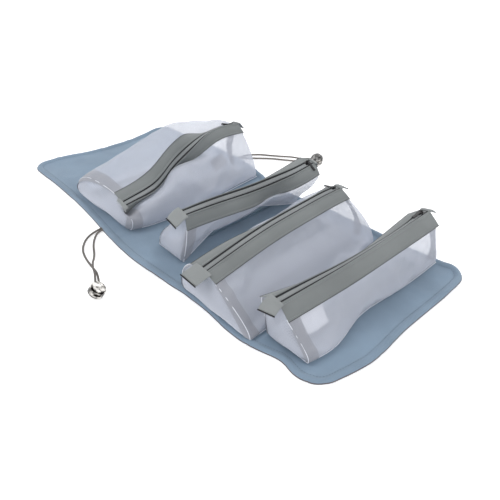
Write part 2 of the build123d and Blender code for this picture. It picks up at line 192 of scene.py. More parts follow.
def rows_uv(rows):
    """(u, v) in metres for a grid of points: u along the rows, v down the columns."""
    rows = np.array(rows, float)
    across = np.linalg.norm(np.diff(rows, axis=1), axis=2)
    down = np.linalg.norm(np.diff(rows, axis=0), axis=2)
    u = np.concatenate([np.zeros((len(rows), 1)), np.cumsum(across, axis=1)], axis=1)
    v = np.concatenate([np.zeros((1, rows.shape[1])), np.cumsum(down, axis=0)], axis=0)
    return np.stack([u, v], axis=2).reshape(-1, 2) * MM


def loft(name, sections, caps=True):
    """Solid through closed sections, each a list of points in the same order."""
    sections = np.array(sections, float)
    count, size = sections.shape[:2]
    faces = grid_faces(count, size, closed=True)
    if caps:
        faces.append(tuple(range(size))[::-1])
        faces.append(tuple((count - 1) * size + i for i in range(size)))
    made = mesh_object(name, sections.reshape(-1, 3), faces, rows_uv(sections))
    made.data.set_sharp_from_angle(angle=math.radians(60))
    return made


def path_frames(points, up):
    """Unit direction, side and up at each point of a line; up is one vector or one for each point."""
    points = np.array(points, float)
    ahead = np.gradient(points, axis=0)
    ahead /= np.linalg.norm(ahead, axis=1)[:, None]
    up = np.broadcast_to(np.array(up, float), points.shape)
    side = np.cross(ahead, up)
    side /= np.linalg.norm(side, axis=1)[:, None]
    return ahead, side, np.cross(side, ahead)


def tube(name, points, radius, sides=8, up=(0, 0, 1)):
    """Round tube along a line of points."""
    points = np.array(points, float)
    _, side, above = path_frames(points, up)
    angles = np.arange(sides) * 2 * math.pi / sides
    ring = np.cos(angles)[None, :, None] * side[:, None] + np.sin(angles)[None, :, None] * above[:, None]
    return loft(name, points[:, None] + ring * radius)


def stitch_row(points, up, length=2.4, pitch=3.4, thick=0.35):
    """Points and faces of separate stitches along a line: each a small six-sided bead."""
    points = np.array(points, float)
    along = np.concatenate([[0], np.cumsum(np.linalg.norm(np.diff(points, axis=0), axis=1))])
    up = np.broadcast_to(np.array(up, float), points.shape)
    made, faces = [], []
    stations = [(-0.5, 0.25), (-0.3, 0.9), (0, 1.0), (0.3, 0.9), (0.5, 0.25)]
    for middle in np.arange(pitch / 2, along[-1] - pitch / 2, pitch):
        places = [middle + share * length for share, _ in stations]
        line = np.stack([np.interp(places, along, points[:, k]) for k in range(3)], axis=1)
        rise = np.stack([np.interp(places, along, up[:, k]) for k in range(3)], axis=1)
        _, side, above = path_frames(line, rise)
        start = len(made)
        for (share, swell), centre, s, a in zip(stations, line, side, above):
            sink = (1 - swell) * thick * 1.2
            for k in range(6):
                turn = k * math.pi / 3
                offset = s * math.cos(turn) * thick * swell + a * (math.sin(turn) * thick * swell - sink)
                made.append(centre + offset)
        faces += grid_faces(len(stations), 6, start, closed=True)
        faces.append(tuple(start + i for i in range(6))[::-1])
        faces.append(tuple(start + 6 * (len(stations) - 1) + i for i in range(6)))
    return made, faces


def stitched(name, lines, **sizes):
    """One object of stitches along several lines, each given with its way up."""
    points, faces = [], []
    for line, up in lines:
        made, quads = stitch_row(line, up, **sizes)
        faces += [tuple(i + len(points) for i in f) for f in quads]
        points += made
    return mesh_object(name, points, faces)


def joined(objects, name):
    """Joins mesh objects into one."""
    points, faces, uvs = [], [], []
    for obj in objects:
        start = len(points)
        points += [tuple(v.co / MM) for v in obj.data.vertices]
        faces += [tuple(start + i for i in f.vertices) for f in obj.data.polygons]
    made = mesh_object(name, points, faces)
    made.data.set_sharp_from_angle(angle=math.radians(60))
    if objects[0].data.materials:
        made.data.materials.append(objects[0].data.materials[0])
    for obj in objects:
        bpy.data.objects.remove(obj)
    return made


# ---------------------------------------------------------------- materials


class Shader:
    """A Principled material whose nodes are added one by one."""

    def __init__(self, name, **values):
        self.material = bpy.data.materials.new(name)
        self.material.use_nodes = True
        self.tree = self.material.node_tree
        self.base = self.tree.nodes["Principled BSDF"]
        self.place = self.node("ShaderNodeTexCoord")
        for socket, value in values.items():
            self.base.inputs[socket.replace("_", " ")].default_value = value

    def node(self, kind, inputs=(), **settings):
        made = self.tree.nodes.new(kind)
        for key, value in settings.items():
            setattr(made, key, value)
        for key, value in dict(inputs).items():
            if isinstance(value, bpy.types.NodeSocket):
                self.tree.links.new(value, made.inputs[key])
            else:
                made.inputs[key].default_value = value
        return made

    def link(self, source, socket):
        self.tree.links.new(source, self.base.inputs[socket])

    def noise(self, scale, detail=3, roughness=0.5, source="Object"):
        inputs = {"Vector": self.place.outputs[source], "Scale": scale}
        inputs.update(Detail=detail, Roughness=roughness)
        return self.node("ShaderNodeTexNoise", inputs).outputs["Fac"]

    def threads(self, pitch, direction, source="Object"):
        """Bands of threads, pitch metres apart, across direction X, Y or Z."""
        inputs = {"Vector": self.place.outputs[source], "Scale": WAVE_SCALE / pitch}
        made = self.node("ShaderNodeTexWave", inputs, bands_direction=direction, wave_profile="SIN")
        return made.outputs["Fac"]

    def math(self, operation, a, b):
        return self.node("ShaderNodeMath", {0: a, 1: b}, operation=operation).outputs[0]

    def ramp(self, value, low, high, start=0.0, end=1.0):
        """Colour from low to high as value goes from start to end."""
        made = self.node("ShaderNodeValToRGB", {"Fac": value})
        made.color_ramp.elements[0].position = start
        made.color_ramp.elements[0].color = (*low, 1)
        made.color_ramp.elements[1].position = end
        made.color_ramp.elements[1].color = (*high, 1)
        return made.outputs["Color"]

    def mix(self, share, a, b):
        made = self.node("ShaderNodeMix", {"Factor": share}, data_type="RGBA")
        for index, value in ((MIX_A, a), (MIX_B, b)):
            if isinstance(value, bpy.types.NodeSocket):
                self.tree.links.new(value, made.inputs[index])
            else:
                made.inputs[index].default_value = (*value, 1)
        return made.outputs[MIX_RESULT]

    def between(self, value, low, high):
        made = self.node("ShaderNodeMapRange", {"Value": value, "To Min": low, "To Max": high})
        return made.outputs["Result"]

    def bump(self, height, distance, strength=1.0):
        made = self.node("ShaderNodeBump", {"Height": height, "Distance": distance, "Strength": strength})
        self.link(made.outputs["Normal"], "Normal")


def sized(colour, factor):
    """The colour made lighter or darker."""
    return tuple(c * factor for c in colour)


def woven(name, colour, pitch, bump_depth, source="Object", variation=0.12, **values):
    """Plain-woven cloth: two crossing sets of threads, with slow changes of shade."""
    shader = Shader(name, **values)
    warp = shader.threads(pitch, "X", source)
    weft = shader.threads(pitch, "Y", source)
    weave = shader.math("MAXIMUM", warp, weft)
    slow = shader.noise(14, 4)
    fibre = shader.noise(900, 2)
    shade = shader.ramp(slow, sized(colour, 1 - variation), sized(colour, 1 + variation), 0.3, 0.7)
    shader.link(shader.mix(shader.between(weave, 0.25, 0), shade, sized(colour, 0.72)), "Base Color")
    shader.link(shader.between(fibre, values["Roughness"] - 0.08, values["Roughness"] + 0.08), "Roughness")
    shader.bump(shader.math("ADD", weave, shader.math("MULTIPLY", fibre, 0.5)), bump_depth)
    return shader.material


def net_material(name, colour, open_share, solid_share):
    """Fine net: threads with holes between them, so what is behind shows through."""
    shader = Shader(name, Roughness=0.75, Sheen_Weight=0.25, Sheen_Roughness=0.5)
    warp = shader.threads(0.0012, "X", "UV")
    weft = shader.threads(0.0012, "Y", "UV")
    weave = shader.math("MAXIMUM", warp, weft)
    slow = shader.noise(18, 3)
    cover = shader.between(weave, open_share, solid_share)
    uneven = shader.between(slow, 0.96, 1.04)
    shader.link(shader.math("MULTIPLY", cover, uneven), "Alpha")
    shader.link(shader.ramp(slow, sized(colour, 0.96), colour, 0.3, 0.7), "Base Color")
    shader.bump(weave, 0.00012, 0.6)
    return shader.material


def braided(name, colour):
    """Braided cord: slanting bands of light and dark."""
    shader = Shader(name, Roughness=0.8, Sheen_Weight=0.2)
    twist = shader.node(
        "ShaderNodeMapping", {"Vector": shader.place.outputs["UV"], "Rotation": (0, 0, math.radians(40))}
    )
    bands = shader.node("ShaderNodeTexWave", {"Vector": twist.outputs["Vector"], "Scale": 55}).outputs["Fac"]
    shader.link(shader.ramp(bands, sized(colour, 0.6), sized(colour, 1.25), 0.2, 0.8), "Base Color")
    shader.bump(bands, 0.0003)
    return shader.material


def napped(name, colour):
    """Hook-and-loop tape: a rough nap."""
    shader = Shader(name, Roughness=0.95, Sheen_Weight=0.3)
    nap = shader.noise(1500, 2, 0.7)
    shader.link(shader.ramp(nap, sized(colour, 0.6), sized(colour, 1.2), 0.35, 0.65), "Base Color")
    shader.bump(nap, 0.0006)
    return shader.material


def metal(name, colour, roughness, metallic=1.0, coat=0.0, speckle=0.05, dark=0.9, patches=400):
    """Metal with uneven gloss, and with patches whose tone goes down to dark; on the lock's nickel the deep
    dark patches are painted reflections.
    """
    shader = Shader(name, Metallic=metallic, Coat_Weight=coat, Coat_Roughness=0.1)
    marks = shader.noise(400, 4, 0.6)
    tone = shader.noise(patches, 2, 0.5)
    shader.link(shader.ramp(tone, sized(colour, dark), colour, 0.40, 0.62), "Base Color")
    shader.link(shader.between(marks, roughness - speckle, roughness + speckle), "Roughness")
    shader.bump(marks, 0.00002, 0.3)
    return shader.material


MAT_BLUE = (0.205, 0.285, 0.375)
STRIP_GREY = (0.20, 0.215, 0.215)
TAB_GREY = (0.27, 0.285, 0.285)
LABEL_WHITE = (0.93, 0.93, 0.95)
MATERIALS = {
    "mat": woven("mat_fabric", MAT_BLUE, 0.0011, 0.00012, Roughness=0.72, Sheen_Weight=0.25),
    "hem": woven("hem_fabric", (0.2, 0.276, 0.36), 0.0011, 0.00012, Roughness=0.75, Sheen_Weight=0.2),
    "edge": woven("edge_thread", (0.10, 0.085, 0.09), 0.0008, 0.0001, Roughness=0.8),
    "thread": woven("sewing_thread", (0.17, 0.225, 0.28), 0.0006, 0.0001, Roughness=0.7),
    "net": net_material("net", (0.66, 0.69, 0.78), 0.36, 0.60),
    "net_double": net_material("net_double", (0.36, 0.37, 0.41), 0.62, 0.86),
    # The right seam bands' net is a darker copy of the doubled net: the double layer is real, the extra
    # darkness is painted shade.
    "net_band_painted_shade": net_material("net_band_painted_shade", (0.15, 0.155, 0.18), 0.74, 0.9),
    "piping": woven("white_piping", (0.72, 0.74, 0.80), 0.0008, 0.0001, Roughness=0.8, Sheen_Weight=0.2),
    "strip": woven("strip_fabric", STRIP_GREY, 0.0009, 0.00018, "UV", Roughness=0.85, Sheen_Weight=0.15),
    "tab": woven("tab_fabric", TAB_GREY, 0.0009, 0.00018, "UV", Roughness=0.85, Sheen_Weight=0.15),
    "strip_edge": woven("strip_edge", (0.055, 0.058, 0.062), 0.0006, 0.0001, Roughness=0.8),
    # The zip tapes are painted near-black: a painted shadow under the strips' rolled edges, where the real
    # tape is light grey.
    "tape_painted_shadow": woven("zip_tape", (0.016, 0.017, 0.019), 0.0008, 0.00015, "UV", Roughness=0.85),
    "coil": woven("zip_coil", (0.27, 0.285, 0.29), 0.0007, 0.0001, "UV", Roughness=0.5),
    "strip_thread": woven("strip_thread", (0.30, 0.32, 0.32), 0.0005, 0.00005, Roughness=0.7),
    "black_edge": woven("black_edge", (0.012, 0.012, 0.014), 0.0008, 0.0001, "UV", Roughness=0.7),
    "hook_loop": napped("hook_loop", (0.27, 0.37, 0.46)),
    "cord": braided("cord_braid", (0.22, 0.195, 0.175)),
    "black_metal": metal("black_gloss", (0.012, 0.012, 0.014), 0.28, 0.6, 0.5),
    # The lock's nickel has large patches darkened to near black: painted reflections of dark surroundings on
    # the polished metal.
    "chrome": metal("lock_nickel_painted_reflections", (0.66, 0.64, 0.61), 0.2, speckle=0.03, dark=0.12, patches=140),
    "steel": metal("spring_steel", (0.45, 0.45, 0.46), 0.3),
    "label": woven("blank_label", LABEL_WHITE, 0.0006, 0.00008, "UV", Roughness=0.7, Sheen_Weight=0.2),
}


def dress(obj, material):
    obj.data.materials.clear()
    obj.data.materials.append(MATERIALS[material])
    return obj


def rounded(obj, width):
    """Softens the edges of a hard piece."""
    bevel = obj.modifiers.new("soft_edges", "BEVEL")
    bevel.width = width * MM
    bevel.segments = 3
    bevel.limit_method = "ANGLE"
    bevel.angle_limit = math.radians(35)
    bevel.harden_normals = True
    return obj


# ---------------------------------------------------------------- camera, light and floor


def camera():
    data = bpy.data.cameras.new("camera")
    data.lens = CAMERA_LENS
    data.sensor_width = 36
    made = placed("camera", data)
    right = Vector(CAMERA_RIGHT).normalized()
    back = Vector(CAMERA_BACK).normalized()
    turned = Matrix((right, back.cross(right), back)).transposed().to_4x4()
    made.matrix_world = Matrix.Translation(CAMERA_PLACE) @ turned
    bpy.context.scene.camera = made


def area_light(name, place, size, power):
    """Area light that faces the origin."""
    data = bpy.data.lights.new(name, "AREA")
    data.size = size
    data.energy = power
    made = placed(name, data)
    made.location = place
    made.rotation_euler = (-Vector(place)).to_track_quat("-Z", "Y").to_euler()


def studio():
    """White floor, a light sky with one dark band all round, and three lights."""
    floor_shader = Shader("floor_white", Roughness=0.9, Emission_Color=(1, 1, 1, 1), Emission_Strength=0.4)
    tone = floor_shader.noise(2, 2)
    floor_shader.link(floor_shader.ramp(tone, (0.93, 0.93, 0.93), (0.95, 0.95, 0.95)), "Base Color")
    ways = ((-1, -1), (1, -1), (1, 1), (-1, 1))
    corners = [(x * FLOOR_REACH, y * FLOOR_REACH, FLOOR_Z) for x, y in ways]
    floor = mesh_object("floor", corners, [(0, 1, 2, 3)])
    floor.data.materials.append(floor_shader.material)
    world = bpy.data.worlds.new("studio")
    world.use_nodes = True
    nodes, links = world.node_tree.nodes, world.node_tree.links
    nodes["Background"].inputs["Strength"].default_value = 0.72
    direction = nodes.new("ShaderNodeTexCoord")
    height = nodes.new("ShaderNodeSeparateXYZ")
    links.new(direction.outputs["Generated"], height.inputs[0])
    sky = nodes.new("ShaderNodeValToRGB")
    links.new(height.outputs["Z"], sky.inputs["Fac"])
    sky.color_ramp.elements[0].color = (0.85, 0.87, 0.90, 1)
    sky.color_ramp.elements[1].color = (0.62, 0.64, 0.68, 1)
    for height_share, level in SKY_LEVELS:
        sky.color_ramp.elements.new(height_share).color = (level, level * 1.01, level * 1.03, 1)
    links.new(sky.outputs["Color"], nodes["Background"].inputs["Color"])
    bpy.context.scene.world = world
    for light in LIGHTS:
        area_light(*light)
    bpy.context.scene.view_settings.view_transform = "Standard"


# ---------------------------------------------------------------- cords and their locks


@dataclass
class CordLock:
    """A cord lock and the two strands that run to it."""

    side: str
    hole: tuple  # middle of the cord holes
    axis: tuple  # the way the plunger points
    heading: tuple  # the way the strands run, in (x, y)
    lengths: tuple  # of the strands, in metres
    routes: tuple  # control points of each strand, from the hem

    def matrix(self):
        """Origin at the middle of the underside, X along the strands and Z along the plunger."""
        axis = Vector(self.axis).normalized()
        heading = Vector((*self.heading, 0))
        heading = (heading - Vector((0, 0, 1)) * heading.dot(axis) / axis.z).normalized()
        across = axis.cross(heading)
        turned = Matrix((heading, across, axis)).transposed().to_4x4()
        return Matrix.Translation(Vector(self.hole) - axis * LOCK_STRAND_Z) @ turned


LOCKS = [
    CordLock(
        side="left",
        hole=(38, -217, 10.6),
        axis=(0.36, 0.40, 0.84),
        heading=(0.85, -0.52),
        lengths=(0.158, 0.169),
        routes=(
            [(-83, -140, 2.1), (-83, -149, 2.1), (-74, -160, 1.5), (-58, -171, 1.5),
             (-35, -181.5, 2.0), (-11, -197.5, 9.0)],
            [(-87, -140, 2.1), (-87, -151, 2.1), (-80, -170, 1.5), (-61, -186, 1.5),
             (-40, -192.5, 1.5), (-18, -195.5, 2.2)],
        ),
    ),
    CordLock(
        side="right",
        hole=(-18, 231, 9.6),
        axis=(0.25, -0.35, 0.90),
        heading=(0.68, 0.71),
        lengths=(0.150, 0.160),
        routes=(
            [(-120, 140, 2.1), (-120, 149, 2.1), (-107, 163, 1.5), (-84, 187, 1.5), (-56, 203, 2.5)],
            [(-124, 140, 2.1), (-124, 155, 2.1), (-114, 179, 1.5), (-86, 199, 1.5), (-60, 216, 3.5)],
        ),
    ),
]


def strand(lock, number):
    """One free strand of the drawstring, from the hem to its end inside the lock."""
    offset = (-LOCK_STRAND_HALF, LOCK_STRAND_HALF)[number]
    points = list(lock.routes[number])
    for x in (-LOCK_STRAIGHT, LOCK_TAIL):
        points.append(tuple(lock.matrix() @ Vector((x, offset, LOCK_STRAND_Z))))
    data = bpy.data.curves.new(f"cord_{lock.side}_{number + 1}", "CURVE")
    data.dimensions = "3D"
    data.resolution_u = 16
    data.bevel_depth = CORD_D / 2 * MM
    data.bevel_resolution = 4
    data.use_fill_caps = True
    spline = data.splines.new("NURBS")
    spline.points.add(len(points) - 1)
    for point, place in zip(spline.points, points):
        point.co = (*[c * MM for c in place], 1)
    spline.order_u = 3
    spline.use_endpoint_u = True
    made = placed(data.name, data)
    data.materials.append(MATERIALS["cord"])
    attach(made, "panel_1")
    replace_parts(made, "cord_" + lock.side)
    [c * MM for c in points[0]]


def cords_and_locks():
    looks = (("body", "chrome", 0.5), ("plunger", "chrome", 0.6), ("spring", "steel", 0))
    for lock in LOCKS:
        for number in (0, 1):
            strand(lock, number)
        for part, material, edge in looks:
            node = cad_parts[f"lock_{lock.side}_{part}"]
            dress(node, material)
            if edge:
                rounded(node, edge)


# ---------------------------------------------------------------- mat


def lay_mat(points):
    """Moves flat points of the mat to where the cloth lies, with its wavy edges and soft undulations."""
    points = np.array(points, float)
    x, y, z = points.T
    left = smooth_curve(*zip(*LEFT_EDGE), x)[:, 0] + MAT_WIDTH / 2
    right = smooth_curve(*zip(*RIGHT_EDGE), x)[:, 0] - MAT_WIDTH / 2
    far = smooth_curve(*zip(*FAR_EDGE), y)[:, 0] + MAT_LENGTH / 2
    near = smooth_curve(*zip(*NEAR_EDGE), y)[:, 0] - MAT_LENGTH / 2
    outward = ease(np.abs(y) / (MAT_WIDTH / 2))
    end_share = ease((np.abs(x) - FOLD_X[-1]) / (MAT_LENGTH / 2 - FOLD_X[-1]))
    moved_y = y + np.where(y < 0, left, right) * outward
    moved_x = x + np.where(x < 0, far, near) * end_share
    edge = np.minimum(MAT_WIDTH / 2 - np.abs(y), MAT_LENGTH / 2 - np.abs(x))
    rise = 1.1 * (ripple(x, y, 62, 1) + 0.35)
    rise += 0.7 * (ripple(x, y, 24, 2) + 0.3) * ease(1 - edge / 70)
    rise += 2.6 * np.maximum(0, ripple(x, y, 85, 3)) * ease(1 - edge / 45)
    crease = 1 - np.abs(ripple(x + 0.6 * y, y - 0.4 * x, 58, 4)) * 9
    rise += 0.9 * np.maximum(0, crease) * ease(1 - edge / 95)
    return np.stack([moved_x, moved_y, z + np.maximum(rise, 0)], axis=1)


def mat_side_places():
    """Corner centre, direction outward and side place of every point of the outline, all round."""
    half_x, half_y = MAT_LENGTH / 2 - MAT_CORNER_R, MAT_WIDTH / 2 - MAT_CORNER_R
    centres, outs = [], []
    corners = [(half_x, -half_y), (half_x, half_y), (-half_x, half_y), (-half_x, -half_y)]
    for i, corner in enumerate(corners):
        start = math.radians(-90 + 90 * i)
        for k in range(CELLS_CORNER):
            turn = start + math.pi / 2 * k / CELLS_CORNER
            centres.append(corner)
            outs.append((math.cos(turn), math.sin(turn)))
        following = corners[(i + 1) % 4]
        cells = CELLS_Y if i % 2 == 0 else CELLS_X
        for k in range(cells):
            share = k / cells
            centres.append(tuple(np.array(corner) * (1 - share) + np.array(following) * share))
            outs.append((math.cos(start + math.pi / 2), math.sin(start + math.pi / 2)))
    return np.array(centres), np.array(outs)


def mat_outline(inset, height):
    """The flat mat's outline, moved in from its edge, at one height."""
    centres, outs = mat_side_places()
    flat = centres + outs * (MAT_CORNER_R - inset)
    return np.column_stack([flat, np.full(len(flat), float(height))])


def mat_solid():
    """The whole mat as one closed mesh, flat: rings of the hem round a grid, on top and underneath."""
    shape = bmesh.new()
    band = shape.faces.layers.int.new("band")
    half_x, half_y = MAT_LENGTH / 2 - MAT_CORNER_R, MAT_WIDTH / 2 - MAT_CORNER_R
    rings = {}
    for side in (0, 1):
        rings[side] = []
        for section in HEM_SECTION:
            points = mat_outline(section[0], section[1 + side])
            rings[side].append([shape.verts.new(p * MM) for p in points])
        for r in range(len(HEM_SECTION) - 1):
            outer, inner = rings[side][r], rings[side][r + 1]
            for i in range(len(outer)):
                k = (i + 1) % len(outer)
                corners = (outer[i], outer[k], inner[k], inner[i])
                face = shape.faces.new(corners if side == 0 else corners[::-1])
                distance = HEM_SECTION[r][0]
                face[band] = 2 if distance < EDGE_WIDTH else 1 if distance < HEM_WIDTH else 0
        height = HEM_SECTION[-1][1 + side]
        xs = np.linspace(-half_x, half_x, CELLS_X + 1)
        ys = np.linspace(-half_y, half_y, CELLS_Y + 1)
        inside = [[shape.verts.new(Vector((x, y, height)) * MM) for y in ys] for x in xs]
        for a in range(CELLS_X):
            for b in range(CELLS_Y):
                corners = (inside[a][b], inside[a + 1][b], inside[a + 1][b + 1], inside[a][b + 1])
                shape.faces.new(corners if side == 0 else corners[::-1])
    for i in range(len(rings[0][0])):
        k = (i + 1) % len(rings[0][0])
        face = shape.faces.new((rings[1][0][i], rings[1][0][k], rings[0][0][k], rings[0][0][i]))
        face[band] = 2
    bmesh.ops.remove_doubles(shape, verts=shape.verts, dist=0.01 * MM)
    return shape


def cut_between(shape, low, high):
    """Keeps what lies between two upright planes across X and closes the cuts."""
    for place, clear_outer in ((low, False), (high, True)):
        if place is None:
            continue
        cut = bmesh.ops.bisect_plane(
            shape,
            geom=shape.verts[:] + shape.edges[:] + shape.faces[:],
            plane_co=(place * MM, 0, 0),
            plane_no=(1, 0, 0),
            clear_outer=clear_outer,
            clear_inner=not clear_outer,
        )
        edges = [e for e in cut["geom_cut"] if isinstance(e, bmesh.types.BMEdge) and e.is_boundary]
        bmesh.ops.holes_fill(shape, edges=edges)


def mat_object(name, shape):
    """Lays a flat piece of the mat and gives its cloth, hem and edge their materials."""
    mesh = bpy.data.meshes.new(name)
    bands = [f[shape.faces.layers.int["band"]] for f in shape.faces]
    shape.to_mesh(mesh)
    for material in ("mat", "hem", "edge"):
        mesh.materials.append(MATERIALS[material])
    mesh.polygons.foreach_set("material_index", bands)
    points = np.array([v.co for v in mesh.vertices]) / MM
    mesh.vertices.foreach_set("co", (lay_mat(points) * MM).ravel())
    mesh.shade_smooth()
    mesh.set_sharp_from_angle(angle=math.radians(70))
    return placed(name, mesh)


def over_fold(obj, index):
    """Bakes the placement of a piece of the mat into its mesh; it is not bent over the fold."""
    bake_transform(obj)


def ring_runs(inset, height):
    """The mat's ring at an inset as one line for each piece, laid like the cloth."""
    ring = mat_outline(inset, height)
    ring = np.concatenate([ring, ring[:1]])
    steps = np.arange(RING_STEPS)[:, None] / RING_STEPS
    dense = np.concatenate([a + (b - a) * steps for a, b in zip(ring[:-1], ring[1:])])
    bounds = [-math.inf, *CUT_X, math.inf]
    for index in range(len(FOLD_X)):
        inside = (dense[:, 0] >= bounds[index]) & (dense[:, 0] <= bounds[index + 1])
        starts = np.flatnonzero(inside & ~np.roll(inside, 1))
        runs = []
        for start in starts:
            order = (start + np.arange(len(dense))) % len(dense)
            stop = np.argmin(inside[order]) if not inside.all() else len(dense)
            runs.append(lay_mat(dense[order[:stop]]))
        yield index, runs


def mat():
    """Four pieces of cloth, each over one fold, with their stitches and the drawstring in the hem."""
    whole = mat_solid()
    bounds = [None, *CUT_X, None]
    for index in range(len(FOLD_X)):
        part = whole.copy()
        cut_between(part, bounds[index], bounds[index + 1])
        piece = mat_object(f"mat_cloth_{index + 1}", part)
        part.free()
        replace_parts(piece, *[f"mat_{panel}" for panel in MAT_PANELS[index : index + 2]])
        over_fold(piece, index)
    for index, runs in ring_runs(HEM_STITCH, HEM_STITCH_Z):
        stitches = stitched(f"hem_stitches_{index + 1}", [(run, (0, 0, 1)) for run in runs])
        dress(stitches, "thread")
        over_fold(stitches, index)
    for index, runs in ring_runs(HEM_CORD, HEM_CORD_Z):
        cords = [tube(f"hem_run_{i}", run[::3], CORD_D / 2, 6) for i, run in enumerate(runs)]
        hem_cord = joined(cords, f"hem_cord_{index + 1}")
        dress(hem_cord, "cord")
        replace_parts(hem_cord, *[f"hem_cord_{panel}" for panel in MAT_PANELS[index : index + 2]])
        over_fold(hem_cord, index)


# ---------------------------------------------------------------- pouches


@dataclass
class Station:
    """Section of a pouch across its length. Slopes are in degrees; each pull is an (x, z) curve handle."""

    ridge: tuple  # middle of the zip
    tilt: float  # slope of the zip, from back to front
    back_slope: float  # slope of the back edge strip
    front_slope: float
    base: tuple  # (back x, front x) where the net meets the mat
    back_pulls: tuple  # handles of the back panel, at its base and at its strip
    front_pulls: tuple
    lift: float = 0  # how far the front lower edge stands off the mat

    def numbers(self):
        pulls = [c for pull in (*self.back_pulls, *self.front_pulls) for c in pull]
        return [*self.ridge, self.tilt, self.back_slope, self.front_slope, *self.base, *pulls, self.lift]


def way_at(degrees):
    """Unit (x, z) vector at an angle above +X."""
    return np.array([math.cos(math.radians(degrees)), math.sin(math.radians(degrees))])


@dataclass
class Pouch:
    """A zipped net pouch, described by sections along its length."""

    number: int
    base_y: tuple  # where the ends of its base are
    stations: list
    end_swell: tuple  # how far each end gusset bulges out
    strip_width: float
    tabs: tuple  # (length, width, drop in degrees, twist in degrees) of each zip tab
    slack: float  # spare cloth in the net, as a share of its size
    right_seam: tuple  # where the right end's seam runs: shares of the way across it, from base to zip

    def piece(self, part):
        """Name of one of its pieces."""
        return f"pouch_{self.number}_{part}"

    def section(self, share):
        """All the numbers of the section at a share of the way from the left end to the right."""
        depth = [s.ridge[1] for s in self.stations]
        keys = (np.array(depth) - depth[0]) / (depth[-1] - depth[0])
        return smooth_curve(keys, [s.numbers() for s in self.stations], share)[0]

    def corners(self, share):
        """Zip and strip corners in (x, z): strip back edge, zip back, zip front, strip front edge."""
        x, _, z, tilt, back, front = self.section(share)[:6]
        across, back_way, front_way = (way_at(angle) for angle in (tilt, back, front))
        across = across * ZIP_WIDTH / 2
        zip_back, zip_front = np.array([x, z]) - across, np.array([x, z]) + across
        return zip_back - back_way * STRIP_WIDTH, zip_back, zip_front, zip_front + front_way * STRIP_WIDTH

    def place(self, share, flat):
        """Stands an (x, z) point of a section up in the pouch."""
        section = self.section(share)
        base = self.base_y[0] + (self.base_y[1] - self.base_y[0]) * share
        lean = (section[1] - base) / (section[2] - BASE_Z)
        return np.array([flat[0], base + lean * (flat[1] - BASE_Z), flat[1]])


